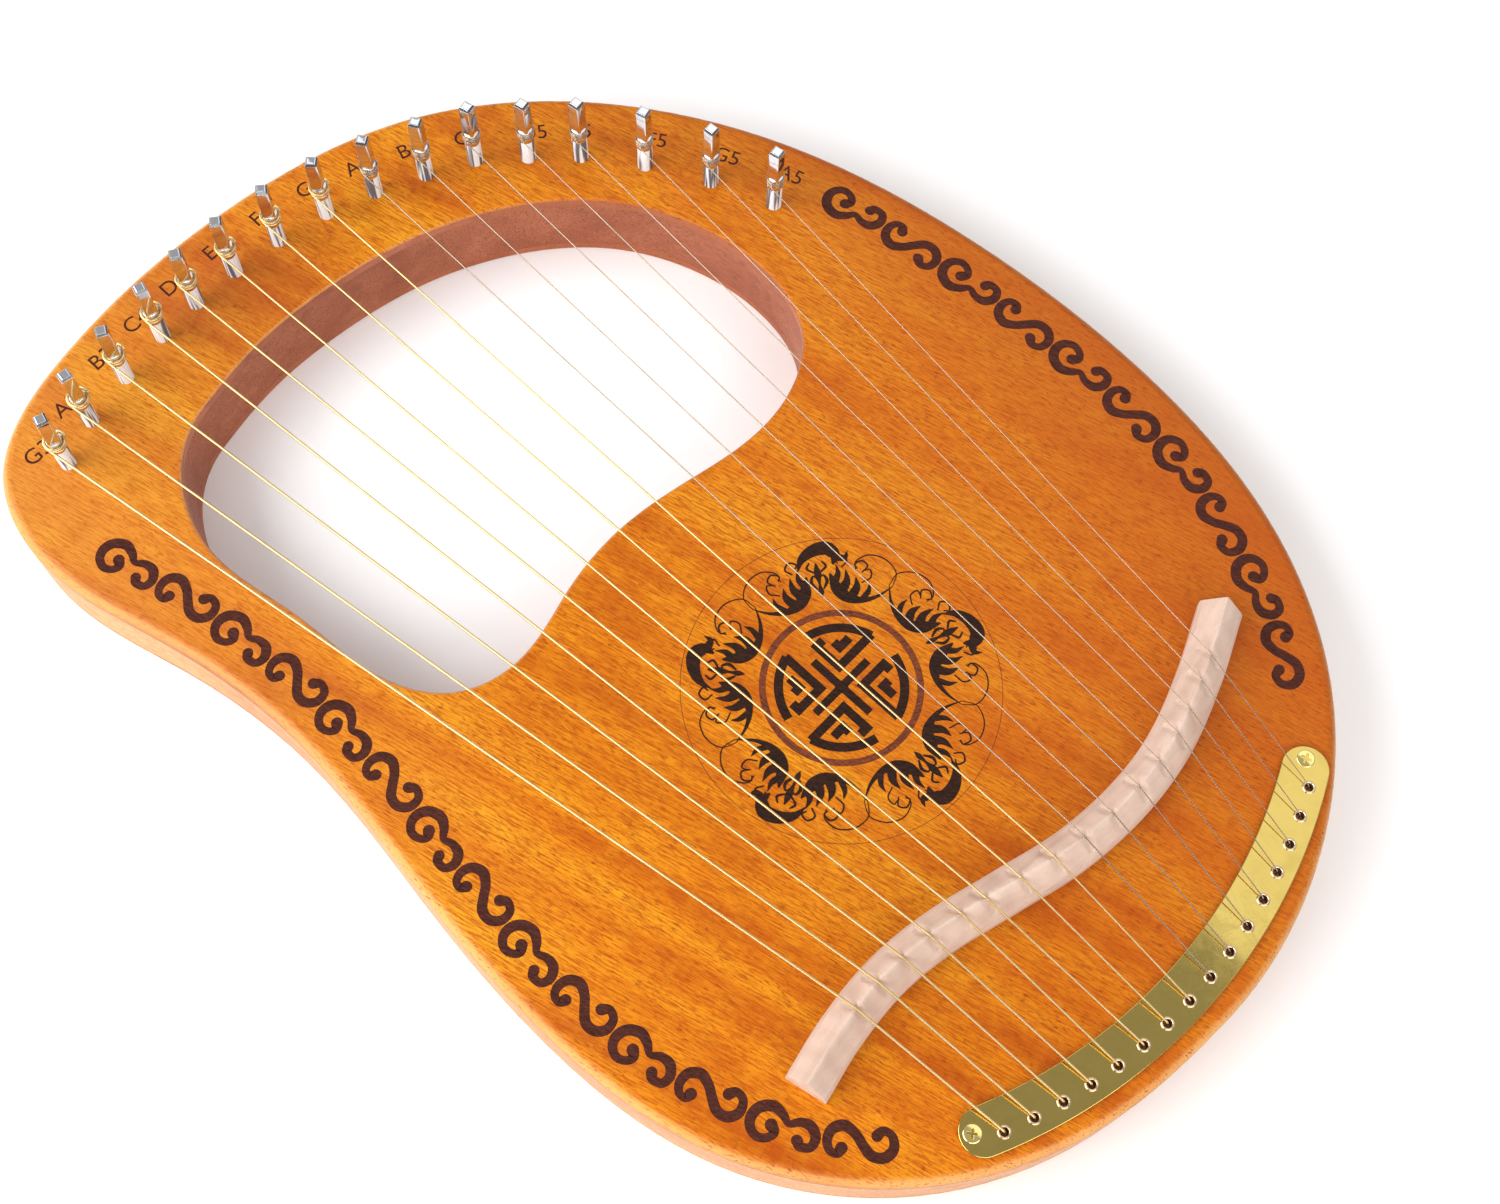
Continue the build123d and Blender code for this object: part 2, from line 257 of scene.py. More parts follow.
def lacquered_wood(name, light, middle, deep, pore, turn=4.0, gloss=0.3, cut_edges=False, joined=False,
                   shade=0.0):
    """Mahogany with a fine dark fleck along the grain, under a thin lacquer.

    With cut_edges, a board's edges are toned like the wall outside and the lining in the opening, with
    painted light and shade.
    With joined, the side wall shows its joints. Shade is how much painted shade darkens its treble side and
    bottom; it also turns on painted light at the bass top.
    """
    f = Finish(name)
    clear = 1.0
    vein = tuple(0.9 * part for part in deep)
    bands = f.noise(f.stretch(13, 210, 13, turn), 3, 0.55, 0.4)
    blotch = f.noise(f.stretch(55, 75, 55, turn), 2, 0.5)
    tone = f.calc("ADD", f.calc("MULTIPLY", bands, 0.55), f.calc("MULTIPLY", blotch, 0.45))
    colour = f.ramp(tone, *zip(TONE_STOPS, (deep, middle, light)))
    figure = f.span(f.noise(f.stretch(26, 5.5, 26, turn + 3), 3, 0.6, 0.6), 0.42, 0.66)
    colour = f.mix(f.calc("MULTIPLY", figure, 0.22), colour, light)
    treble, pinward, _ = f.node("SeparateXYZ", Vector=f.where).outputs
    # Painted shade darkens the treble side and the bottom; painted light makes the bass top paler and its
    # grain fainter
    if shade:
        drift = f.calc("ADD", treble, f.calc("MULTIPLY", pinward, -0.55))
        drift = f.calc("ADD", drift, f.calc("MULTIPLY", blotch, 0.08))
        colour = f.mix(f.span(drift, 0.03, 0.25, 0.0, shade), colour, deep)
        colour = f.mix(f.span(treble, 0.105, 0.15, 0.0, 0.35), colour, TREBLE_PAINTED_SHADE)
        colour = f.mix(f.span(drift, -0.24, -0.04, 0.6, 0.0), colour, BASS_PAINTED_LIGHT)
        clear = f.span(drift, -0.26, -0.06, 0.4, 1.0)
    fibre = f.noise(f.stretch(0.6, 8, 0.6, turn + 1), 4, 0.72)
    fibres = f.span(fibre, 0.44, 0.61, 0.0, 0.85)
    colour = f.mix(f.calc("MULTIPLY", fibres, clear), colour, vein)
    if cut_edges:
        colour = cut_edge(f, colour, tone, treble)
    if joined:
        colour = f.joint(colour, SEAM_STRENGTH)
    fleck = f.noise(f.stretch(0.48, 3.0, 0.6, turn - 2), 2, 0.6)
    fleck_area = f.noise(f.stretch(6, 24, 6, turn), 2, 0.5)
    pores = f.calc("MULTIPLY", f.span(fleck, 0.55, 0.68), f.span(fleck_area, 0.34, 0.6, 0.5, 1.0))
    pores = f.calc("MULTIPLY", pores, clear)
    colour = f.mix(f.calc("MULTIPLY", pores, 0.8), colour, pore)
    f.plug(f.shader.inputs["Base Color"], colour)
    f.plug(f.shader.inputs["Roughness"], f.span(fibre, 0.3, 0.7, gloss, gloss + 0.14))
    f.shader_set(Coat_Weight=LACQUER_COAT, Coat_Roughness=0.16, Specular_IOR_Level=SATIN_SPECULAR)
    grain = f.relief(f.calc("ADD", f.calc("MULTIPLY", pores, -0.7), f.calc("MULTIPLY", fibre, 0.35)), 0.035)
    f.plug(f.shader.inputs["Normal"], grain)
    ripple = f.relief(f.noise(f.stretch(9, 30, 9, turn), 1, 0.5), 0.03)
    f.plug(f.shader.inputs["Coat Normal"], ripple)
    return f.material


def cut_edge(f, colour, tone, treble):
    """The colour with a board's edges toned, painted shade towards the treble side, a painted highlight on
    its rounding at the bass side, and its glue line.
    """
    normal = f.node("NewGeometry").outputs["Normal"]
    facing = f.calc("ABSOLUTE", f.node("SeparateXYZ", Vector=normal).outputs[2])
    hand = f.node("Mapping", {"vector_type": "POINT"}, Vector=f.where,
                  Location=(*(-middle / reach for middle, reach in zip(HAND_MIDDLE, HAND_REACH)), 0),
                  Scale=(*(1 / (reach * MM) for reach in HAND_REACH), 0))
    reach = f.node("VectorMath", {"operation": "LENGTH"}, Vector=hand.outputs[0]).outputs["Value"]
    inner = f.ramp(tone, *zip(TONE_STOPS, OPENING_TONES[::-1]))
    outer = f.ramp(tone, *zip(TONE_STOPS, BOARD_EDGE_TONES[::-1]))
    edge = f.mix(f.span(reach, 1.0, 1.25), inner, outer)
    # Painted shade: the edges darker towards the treble side
    edge = f.mix(f.span(treble, 0.0, 0.12, 0.0, 0.6), edge, TREBLE_EDGE_PAINTED_SHADE)
    colour = f.mix(f.span(facing, 0.6, 0.97), edge, colour)
    # Painted highlight on the rounding, strongest at the bass side
    rounding = f.calc("MULTIPLY", f.span(facing, 0.3, 0.6), f.span(facing, 0.85, 0.99, 1.0, 0.0))
    painted_highlight = f.calc("MULTIPLY", rounding, f.span(treble, -0.02, 0.08, 0.45, 0.0))
    colour = f.mix(painted_highlight, colour, LIT_EDGE)
    return f.joint(colour, f.span(reach, 1.04, 1.06, 0.0, SEAM_STRENGTH))


def raw_wood(name, light, deep, fleck_colour):
    """Unlacquered pale wood with its grain along x, short ray flecks and a rough filed surface."""
    turn = 90.0
    f = Finish(name)
    tone = f.noise(f.stretch(7, 60, 7, turn), 3, 0.55, 0.5)
    colour = f.ramp(tone, (0.34, deep), (0.66, light))
    line = f.noise(f.stretch(0.5, 22, 0.5, turn + 2), 3, 0.6)
    colour = f.mix(f.span(line, 0.52, 0.75, 0.0, 0.3), colour, deep)
    fleck = f.noise(f.stretch(0.28, 1.9, 0.4, turn - 3), 2, 0.55)
    flecks = f.span(fleck, 0.62, 0.72)
    colour = f.mix(f.calc("MULTIPLY", flecks, 0.45), colour, fleck_colour)
    f.plug(f.shader.inputs["Base Color"], colour)
    f.plug(f.shader.inputs["Roughness"], f.span(line, 0.3, 0.7, 0.52, 0.7))
    saw = f.noise(f.stretch(0.8, 0.5, 0.8, turn), 3, 0.6)
    rough = f.calc("ADD", f.calc("MULTIPLY", saw, 0.8), f.calc("MULTIPLY", flecks, -0.5))
    f.plug(f.shader.inputs["Normal"], f.relief(rough, 0.09, f.soft_edges(0.12)))
    return f.material


def burned_wood(name, dark, light, raster=0.22, turn=35.0):
    """Wood scorched by a laser: very dark, with fine lines where the beam went and a little grain showing."""
    f = Finish(name)
    grain = f.noise(f.stretch(0.4, 7, 0.4, 5), 3, 0.6)
    lines = f.noise(f.stretch(raster, 30, 30, turn), 1, 0.5)
    hatch = f.noise(f.stretch(0.3, 1.4, 1.4, turn), 2, 0.6)
    tone = f.calc("ADD", f.calc("MULTIPLY", grain, 0.3), f.calc("MULTIPLY", lines, 0.25))
    tone = f.calc("ADD", tone, f.calc("MULTIPLY", hatch, 0.45))
    f.plug(f.shader.inputs["Base Color"], f.ramp(tone, (0.42, dark), (0.62, light)))
    f.plug(f.shader.inputs["Roughness"], f.span(lines, 0.3, 0.7, 0.45, 0.65))
    f.shader_set(Specular_IOR_Level=SATIN_SPECULAR)
    f.plug(f.shader.inputs["Normal"], f.relief(tone, 0.04))
    return f.material


def polished_metal(name, colour, worn, gloss, edge):
    """Metal polished to a mirror, with faint rubbing marks and a little haze where it has been handled.

    Gloss is the roughness where it is cleanest, and edge the rounding of its corners in mm.
    """
    f = Finish(name)
    smear = f.noise(f.stretch(6, 9, 6, 20), 4, 0.6, 0.8)
    hair = f.noise(f.stretch(0.12, 9, 0.12, 62), 3, 0.7)
    hair_two = f.noise(f.stretch(0.15, 7, 0.15, -28), 2, 0.6)
    marks = f.calc("MAXIMUM", f.span(hair, 0.62, 0.8), f.span(hair_two, 0.64, 0.8))
    f.plug(f.shader.inputs["Base Color"], f.mix(f.span(smear, 0.4, 0.75, 0.0, 0.6), colour, worn))
    f.shader_set(Metallic=1.0)
    dull = f.calc("ADD", f.span(smear, 0.45, 0.8, gloss, gloss + 0.1), f.calc("MULTIPLY", marks, 0.09))
    f.plug(f.shader.inputs["Roughness"], dull)
    f.plug(f.shader.inputs["Normal"], f.relief(marks, 0.002, f.soft_edges(edge)))
    return f.material


def threaded_metal(name, colour, worn):
    """A pin's finely threaded lower end: ridges round it, and a painted reflection of white with darker
    streaks up it.
    """
    f = Finish(name)
    reflection_streaks = f.span(f.noise(f.stretch(1.3, 1.3, 30), 1, 0.5, 0.3), 0.42, 0.54)
    ridge = f.node("TexWave", {"bands_direction": "Z"}, Vector=f.stretch(1, 1, 1), Scale=0.75, Distortion=0.4,
                   Detail=1.0).outputs["Fac"]
    smear = f.noise(f.stretch(0.5, 0.5, 3.0), 3, 0.6)
    # Painted reflection: a nearly matt white with dark streaks stands in for the steel's mirror
    f.plug(f.shader.inputs["Base Color"], f.mix(reflection_streaks, worn, colour))
    f.shader_set(Metallic=0.2)
    f.plug(f.shader.inputs["Roughness"], f.span(smear, 0.3, 0.7, 0.22, 0.42))
    f.plug(f.shader.inputs["Normal"], f.relief(ridge, 0.03))
    return f.material


WAVE_SCALE = 0.314      # the wave texture's scale that gives waves about one unit long


def wire(name, colour, worn, pitch, depth, gloss):
    """String wire. Pitch is the width of one turn of its winding, and depth that of its grooves, in mm."""
    f = Finish(name)
    turns = f.node("TexWave", {"bands_direction": "Y"}, Vector=f.stretch(1, 1, 1, 2),
                   Scale=WAVE_SCALE / pitch).outputs["Fac"]
    smear = f.noise(f.stretch(2, 11, 2), 3, 0.6)
    f.plug(f.shader.inputs["Base Color"], f.mix(f.span(smear, 0.35, 0.75, 0.0, 0.8), colour, worn))
    f.shader_set(Metallic=1.0)
    f.plug(f.shader.inputs["Roughness"], f.span(turns, 0.0, 1.0, gloss + 0.12, gloss))
    f.plug(f.shader.inputs["Normal"], f.relief(turns, depth))
    return f.material


FINISHES = {
    "face_wood": lacquered_wood("face_wood", (0.78, 0.325, 0.013), (0.68, 0.21, 0.006), (0.44, 0.078, 0.003),
                                (0.25, 0.034, 0.002), turn=13.0, cut_edges=True, shade=0.8),
    "side_wood": lacquered_wood("side_wood", *SIDE_TONES, (0.28, 0.07, 0.015), joined=True),
    "back_wood": lacquered_wood("back_wood", (0.74, 0.24, 0.012), (0.62, 0.17, 0.008), (0.45, 0.095, 0.005),
                                (0.17, 0.028, 0.004), turn=-3.0, cut_edges=True),
    # opening_wood: the lining, in tones holding painted shade and a painted reflection of the floor
    "opening_wood": lacquered_wood("opening_wood", *OPENING_TONES, (0.15, 0.035, 0.014), gloss=0.38),
    "inner_wood": raw_wood("inner_wood", (0.62, 0.42, 0.24), (0.50, 0.31, 0.16), (0.35, 0.2, 0.1)),
    "bridge_wood": raw_wood("bridge_wood", (0.72, 0.54, 0.44), (0.61, 0.435, 0.34), (0.46, 0.29, 0.21)),
    "plate_brass": polished_metal("plate_brass", (0.66, 0.49, 0.135), (0.55, 0.40, 0.10), 0.05, 0.1),
    "screw_brass": polished_metal("screw_brass", (0.95, 0.76, 0.30), (0.78, 0.58, 0.20), 0.16, 0.1),
    "pin_steel": polished_metal("pin_steel", (0.78, 0.79, 0.81), (0.66, 0.67, 0.70), 0.05, 0.2),
    "pin_edge": polished_metal("pin_edge", (0.24, 0.24, 0.25), (0.16, 0.16, 0.17), 0.12, 0.1),
    # pin_thread: painted reflection, a bluish white against the wood's pink bounce light, with dark streaks
    "pin_thread": threaded_metal("pin_thread", (0.88, 0.95, 0.98), (0.13, 0.14, 0.15)),
    "wound_string": wire("wound_string", (0.80, 0.59, 0.29), (0.68, 0.48, 0.21), 0.30, 0.010, 0.24),
    "plain_string": wire("plain_string", (0.48, 0.38, 0.28), (0.36, 0.28, 0.20), 0.9, 0.002, 0.2),
    "lip_brass": polished_metal("lip_brass", (0.80, 0.64, 0.46), (0.68, 0.50, 0.34), 0.14, 0.05),
    # The ball ends are painted dark brown: painted shade inside the plate's holes
    "shaded_ball_brass": polished_metal("shaded_ball_brass", (0.16, 0.075, 0.03), (0.10, 0.04, 0.02), 0.4, 0.15),
    "burn_dark": burned_wood("burn_dark", (0.012, 0.006, 0.004), (0.05, 0.018, 0.010)),
    "burn_brown": burned_wood("burn_brown", (0.036, 0.009, 0.006), (0.10, 0.027, 0.016)),
    "burn_pale": burned_wood("burn_pale", (0.085, 0.022, 0.012), (0.27, 0.065, 0.022), 0.35, 60.0),
}

CAD_FINISH = {
    "soundboard": "face_wood", "back_board": "back_wood", "outer_rim": "side_wood",
    "opening_lining": "opening_wood", "pin_block": "inner_wood", "tail_block": "inner_wood",
    "bridge_brace": "inner_wood", "back_brace": "inner_wood", "ball_ends": "shaded_ball_brass",
}


def dress_cad():
    """Gives each CAD node that stays its detailed material."""
    for name, finish in CAD_FINISH.items():
        for material_slot in NODES[name].material_slots:
            material_slot.link = "OBJECT"
            material_slot.material = FINISHES[finish]


# ---------------- mesh helpers

WIRE_SIDES = 12
ARC_STEPS = 8


def new_piece(name, mesh_or_bm, finishes, body, sharp=40.0):
    """A smooth-shaded piece in the frame's place, riding on a body. Edges over sharp degrees stay sharp."""
    if isinstance(mesh_or_bm, bmesh.types.BMesh):
        bmesh.ops.recalc_face_normals(mesh_or_bm, faces=mesh_or_bm.faces)
        mesh = bpy.data.meshes.new(name)
        mesh_or_bm.to_mesh(mesh)
        mesh_or_bm.free()
    else:
        mesh = mesh_or_bm
    mesh.shade_smooth()
    mesh.set_sharp_from_angle(angle=math.radians(sharp))
    for finish in finishes:
        mesh.materials.append(FINISHES[finish])
    obj = bpy.data.objects.new(name, mesh)
    bpy.context.scene.collection.objects.link(obj)
    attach(obj, body)
    return obj


def skin(bm, rings, closed=False, finish=0):
    """Quads between rings of points, with flat ends on the first and last ring unless they close a loop."""
    rows = [[bm.verts.new(point) for point in ring] for ring in rings]
    pairs = list(zip(rows, rows[1:]))
    if closed:
        pairs.append((rows[-1], rows[0]))
    for low, high in pairs:
        for i in range(len(low)):
            j = (i + 1) % len(low)
            bm.faces.new((low[i], low[j], high[j], high[i])).material_index = finish
    if not closed:
        bm.faces.new(list(reversed(rows[0]))).material_index = finish
        bm.faces.new(rows[-1]).material_index = finish


def circle(sides):
    """The cosine and sine of evenly spaced angles."""
    angles = [math.tau * k / sides for k in range(sides)]
    return [(math.cos(angle), math.sin(angle)) for angle in angles]


def tube(bm, points, radius, closed=False):
    """A round wire along the points."""
    points = [Vector(point) for point in points]
    count = len(points)
    side = None
    rings = []
    for i, point in enumerate(points):
        before = points[(i - 1) % count] if closed or i > 0 else point
        after = points[(i + 1) % count] if closed or i < count - 1 else point
        heading = (after - before).normalized()
        if side is None:
            side = heading.orthogonal().normalized()
        side = (side - heading * side.dot(heading)).normalized()
        other = heading.cross(side)
        rings.append([point + radius * (c * side + s * other) for c, s in circle(WIRE_SIDES)])
    skin(bm, rings, closed)


def mesh_of(curve):
    """The mesh of a curve or text, without its materials."""
    holder = bpy.data.objects.new(curve.name, curve)
    bpy.context.scene.collection.objects.link(holder)
    bpy.context.view_layer.update()
    mesh = bpy.data.meshes.new_from_object(holder)
    bpy.data.objects.remove(holder)
    mesh.materials.clear()
    return mesh


def rounded_path(points, radii):
    """The points of a run of straight lines, each inner corner replaced by an arc of that radius."""
    points = [Vector(point) for point in points]
    path = [points[0]]
    for before, corner, after, radius in zip(points, points[1:], points[2:], radii):
        into = (corner - before).normalized()
        out = (after - corner).normalized()
        half_turn = into.angle(out) / 2
        reach = radius * math.tan(half_turn)
        centre = corner + (out - into).normalized() * (radius / math.cos(half_turn))
        first = corner - into * reach - centre
        axis = first.cross(corner + out * reach - centre).normalized()
        for step in range(ARC_STEPS + 1):
            path.append(centre + Matrix.Rotation(2 * half_turn * step / ARC_STEPS, 3, axis) @ first)
    path.append(points[-1])
    return path


def smooth_line(points, steps):
    """A Catmull-Rom curve through the points, which can have any number of coordinates."""
    ends = [2 * points[0] - points[1]] + list(points) + [2 * points[-1] - points[-2]]
    line = []
    for a, b, c, d in zip(ends, ends[1:], ends[2:], ends[3:]):
        for step in range(steps):
            t = step / steps
            line.append(0.5 * (2 * b + (c - a) * t + (2 * a - 5 * b + 4 * c - d) * t ** 2
                               + (3 * b - a - 3 * c + d) * t ** 3))
    line.append(points[-1])
    return line


# ---------------- burned ornament

BURN_HEIGHT = 0.03 * MM     # the scorched marks' surface lies this far above the face
BURN_STEP = 0.001 * MM      # and each later mark of a piece this much higher
STROKE_STEPS = 6
STROKE_MIN = 0.05           # least half width of a stroke, in mm
CAP_ANGLES = (60, 30, 0, -30, -60)


class Marks:
    """Flat marks on the face, gathered into one piece. Coordinates in mm."""

    def __init__(self):
        self.bm = bmesh.new()
        self.count = 0

    def next_top(self):
        """The height of the next mark's surface."""
        top = FACE + BURN_HEIGHT + self.count * BURN_STEP
        self.count += 1
        return top

    def outline(self, points):
        """A filled flat shape with thin sides."""
        top = self.next_top()
        low = [(x * MM, y * MM, FACE - BURN_HEIGHT) for x, y in points]
        high = [(x * MM, y * MM, top) for x, y in points]
        skin(self.bm, [low, high])

    def stroke(self, points, laid=None):
        """A brush stroke along rows of x, y and half width, with round ends. Laid moves each edge point."""
        line = smooth_line([Vector(point) for point in points], STROKE_STEPS)
        left, right = [], []
        for i, here in enumerate(line):
            heading = (line[min(i + 1, len(line) - 1)] - line[max(i - 1, 0)]).xy.normalized()
            across = Vector((-heading.y, heading.x))
            half = max(here.z, STROKE_MIN)
            left.append(here.xy + across * half)
            right.append(here.xy - across * half)
        caps = []
        for end, direction in ((line[-1], line[-1].xy - line[-2].xy), (line[0], line[0].xy - line[1].xy)):
            start = math.atan2(direction.y, direction.x)
            half = max(end.z, STROKE_MIN)
            angles = [start + math.radians(degrees) for degrees in CAP_ANGLES]
            caps.append([end.xy + half * Vector((math.cos(angle), math.sin(angle))) for angle in angles])
        ring = left + caps[0] + right[::-1] + caps[1]
        if laid is not None:
            ring = [laid(point) for point in ring]
        self.strip(ring, len(left), self.next_top())

    def strip(self, ring, length, top):
        """The stroke's ring as a ladder of quads with fans at its ends, so that bends stay clean."""
        bm = self.bm
        levels = []
        for z in (FACE - BURN_HEIGHT, top):
            levels.append([bm.verts.new((p.x * MM, p.y * MM, z)) for p in ring])
        total = len(ring)
        caps = (total - 2 * length) // 2
        for level in levels:
            left = level[:length]
            right = level[length + caps:2 * length + caps][::-1]
            for i in range(length - 1):
                bm.faces.new((left[i], left[i + 1], right[i + 1], right[i]))
            bm.faces.new([left[-1]] + level[length:length + caps] + [right[-1]])
            bm.faces.new([right[0]] + level[2 * length + caps:] + [left[0]])
        for i in range(total):
            j = (i + 1) % total
            bm.faces.new((levels[0][i], levels[0][j], levels[1][j], levels[1][i]))

    def ring(self, centre, outer, inner, sides):
        """A flat ring, in the piece's second finish."""
        bottom, top = FACE - BURN_HEIGHT, self.next_top()
        section = ((inner, bottom), (outer, bottom), (outer, top), (inner, top))
        rings = [[((centre[0] + r * c) * MM, (centre[1] + r * s) * MM, z) for r, z in section]
                 for c, s in circle(sides)]
        skin(self.bm, rings, closed=True, finish=1)


# One scroll of each kind, in mm: along the band, across it towards the middle of the harp, and half width
SCROLL_LENGTH = 23.4
SCROLL_WEIGHT = 0.92        # share of those half widths that is drawn
HOOK_SCROLL = [
    (8.0, -0.9, 2.1), (9.4, -2.6, 1.6), (8.2, -4.7, 1.4), (5.2, -5.5, 1.5), (2.4, -3.6, 1.6),
    (1.6, -0.3, 1.8), (3.2, 3.0, 1.9), (7.0, 4.6, 1.9), (10.4, 3.2, 1.6), (13.0, 1.0, 1.2),
    (16.2, 2.2, 1.5), (19.6, 1.8, 1.8), (21.6, -1.2, 1.7), (20.6, -4.3, 1.5), (17.6, -4.7, 1.6),
    (16.4, -3.2, 1.9),
]
S_SCROLL = [
    (6.2, -2.6, 2.0), (5.2, -4.4, 1.5), (2.8, -3.9, 1.4), (1.6, -1.0, 1.6), (2.6, 2.4, 1.8), (6.0, 4.0, 1.9),
    (9.6, 2.2, 1.7), (12.2, -0.6, 1.7), (15.2, -3.4, 1.8), (18.8, -3.6, 1.8), (21.4, -0.9, 1.7),
    (21.0, 2.8, 1.5), (18.2, 4.2, 1.5), (16.2, 2.6, 2.0),
]
BAND_STEPS = 12
LEFT_BAND = [(-137.0, 149), (-131.5, 126), (-126.5, 98), (-123.6, 68), (-123.8, 45), (-126.2, 15),
             (-130.2, -20), (-133.4, -52), (-133.2, -82), (-128.6, -110), (-119.6, -137), (-104.5, -162),
             (-96, -172)]
RIGHT_BAND = [(127.5, 70), (132.2, 46), (135.4, 18), (137.6, -12), (138.0, -42), (136.8, -68), (133.0, -92),
              (125.5, -115), (115.5, -137), (103.5, -157), (90, -172)]


def band(name, path, inward, count, pitch):
    """Scrolls of both kinds by turns along a path. Inward is 1 where the harp's middle is on its left."""
    marks = Marks()
    line = smooth_line([Vector(point) for point in path], BAND_STEPS)
    lengths = [0.0]
    for a, b in zip(line, line[1:]):
        lengths.append(lengths[-1] + (b - a).length)

    def at(distance):
        for i in range(len(line) - 1):
            if lengths[i + 1] >= distance or i == len(line) - 2:
                share = (distance - lengths[i]) / (lengths[i + 1] - lengths[i])
                heading = (line[i + 1] - line[i]).normalized()
                return line[i].lerp(line[i + 1], share), heading

    for number in range(count):
        shape = HOOK_SCROLL if number % 2 == 0 else S_SCROLL
        start = number * pitch

        def laid(point):
            middle, heading = at(start + point.x * pitch / SCROLL_LENGTH)
            return middle + Vector((-heading.y, heading.x)) * point.y * inward

        marks.stroke([(x, y, half * SCROLL_WEIGHT) for x, y, half in shape], laid)
    new_piece(name, marks.bm, ["burn_brown"], "harp")


# The emblem, in mm
EMBLEM = (-3.9, -59.4)
RING_OUT, RING_IN = 26.7, 24.5
HALO_OUT, HALO_IN = 52.2, 52.0
FRET_R = 20.4
FRET_HALF = 1.5
FRET_START, FRET_SWEEP, FRET_STEPS = 14, 62, 14     # each quarter's arc, in degrees
PETALS = 5

# The bars of one quarter of the fret: their points and half width
FRET_CORNER = (FRET_R * math.cos(math.radians(FRET_START)), FRET_R * math.sin(math.radians(FRET_START)))
FRET_BARS = [
    ([(FRET_CORNER[0] + 0.3, FRET_CORNER[1] + 0.25), (4.6, FRET_CORNER[1] + 0.25), (4.6, 15.2), (7.6, 15.2)],
     FRET_HALF),
    ([(8.1, 9.6), (14.2, 9.6)], FRET_HALF),
    ([(9.6, 9.0), (9.6, 12.3)], FRET_HALF),
    ([(1.3, 0), (12.5, 0)], FRET_HALF * 0.9),
]

# One flourish as brush strokes along +x: those drawn on both sides of its middle, and those drawn once
MIRRORED = [
    # the long leaf that hugs the ring
    [(31.2, 23.4, 0.1), (28.8, 18.0, 0.5), (28.3, 12.8, 1.0), (30.0, 8.2, 1.8), (33.4, 5.6, 2.1),
     (36.6, 4.6, 1.3), (39.2, 4.0, 0.3)],
    # its lobes
    [(29.0, 13.2, 1.0), (31.2, 15.4, 0.8), (33.8, 16.2, 0.1)],
    [(30.4, 9.6, 1.6), (33.2, 11.8, 1.2), (36.6, 12.2, 0.1)],
    [(32.8, 6.6, 1.8), (35.8, 9.0, 1.2), (39.8, 9.4, 0.1)],
    [(36.0, 4.8, 1.3), (38.8, 6.6, 0.9), (42.0, 6.6, 0.1)],
    # fine tendrils and curls
    [(31.2, 23.4, 0.1), (35.8, 25.6, 0.16), (41.0, 23.2, 0.2), (43.6, 18.2, 0.2), (42.2, 13.4, 0.18),
     (39.2, 12.6, 0.12)],
    [(38.0, 14.6, 0.2), (39.8, 16.8, 0.26), (42.0, 15.4, 0.28), (41.2, 12.8, 0.26), (39.6, 13.2, 0.2)],
    [(34.4, 13.8, 0.2), (35.6, 17.0, 0.24), (38.4, 17.4, 0.24), (38.4, 15.2, 0.16)],
    [(41.0, 8.4, 0.22), (43.0, 10.4, 0.28), (45.2, 8.8, 0.3), (44.2, 6.4, 0.28), (42.6, 7.2, 0.2)],
    [(34.6, 1.2, 0.3), (37.0, 2.6, 0.55), (39.2, 1.8, 0.3), (38.6, 0.6, 0.2)],
    [(40.6, 1.4, 0.3), (42.2, 3.2, 0.4), (44.0, 2.2, 0.25)],
]
SINGLE = [
    # the bud, and the heavy curled leaf at the outer end
    [(31.6, 0, 0.15), (33.6, 0, 0.9), (36.4, 0, 0.4), (40.0, 0, 1.2), (43.4, 0, 0.3)],
    [(41.6, 6.4, 0.12), (45.6, 4.4, 1.3), (48.2, 0.2, 2.1), (48.4, -4.6, 2.4), (45.4, -6.8, 1.9),
     (42.8, -5.8, 0.5)],
    [(44.4, -6.4, 0.8), (44.0, -9.8, 0.9), (46.2, -11.2, 0.1)],
]


def turned(points, degrees):
    """Rows of x, y and half width turned about the emblem's middle and moved there."""
    c, s = math.cos(math.radians(degrees)), math.sin(math.radians(degrees))
    return [(EMBLEM[0] + x * c - y * s, EMBLEM[1] + x * s + y * c, half) for x, y, half in points]


def bar(marks, points, half, degrees):
    """A line of that half width with square corners through points, turned about the emblem's middle."""
    left, right = [], []
    points = [Vector(point) for point in points]
    for i, here in enumerate(points):
        into = (here - points[i - 1]).normalized() if i > 0 else (points[1] - here).normalized()
        out = (points[i + 1] - here).normalized() if i < len(points) - 1 else into
        across_in, across_out = Vector((-into.y, into.x)), Vector((-out.y, out.x))
        mitre = (across_in + across_out).normalized()
        reach = half / max(mitre.dot(across_in), 0.3)
        left.append(here + mitre * reach)
        right.append(here - mitre * reach)
    ring = [(p.x, p.y, 0) for p in left + right[::-1]]
    marks.outline([(x, y) for x, y, _ in turned(ring, degrees)])


def emblem():
    """A ring round a four-part key fret, with five leafy flourishes outside it."""
    marks = Marks()
    marks.ring(EMBLEM, RING_OUT, RING_IN, 96)
    marks.ring(EMBLEM, HALO_OUT, HALO_IN, 160)
    for quarter in range(4):
        turn = 90 * quarter
        angles = [math.radians(FRET_START + FRET_SWEEP * step / FRET_STEPS) for step in range(FRET_STEPS + 1)]
        points = [(FRET_R * math.cos(angle), FRET_R * math.sin(angle)) for angle in angles]
        bar(marks, points, FRET_HALF, turn)
        for points, half in FRET_BARS:
            bar(marks, points, half, turn)
    bar(marks, [(-1.6, 0), (1.6, 0)], 1.6, 0)
    for petal in range(PETALS):
        turn = -90 + 360 / PETALS * petal
        for shape in SINGLE:
            marks.stroke(turned(shape, turn))
        for side in (1, -1):
            for shape in MIRRORED:
                marks.stroke(turned([(x, y * side, half) for x, y, half in shape], turn))
    new_piece("emblem", marks.bm, ["burn_dark", "burn_pale"], "harp")


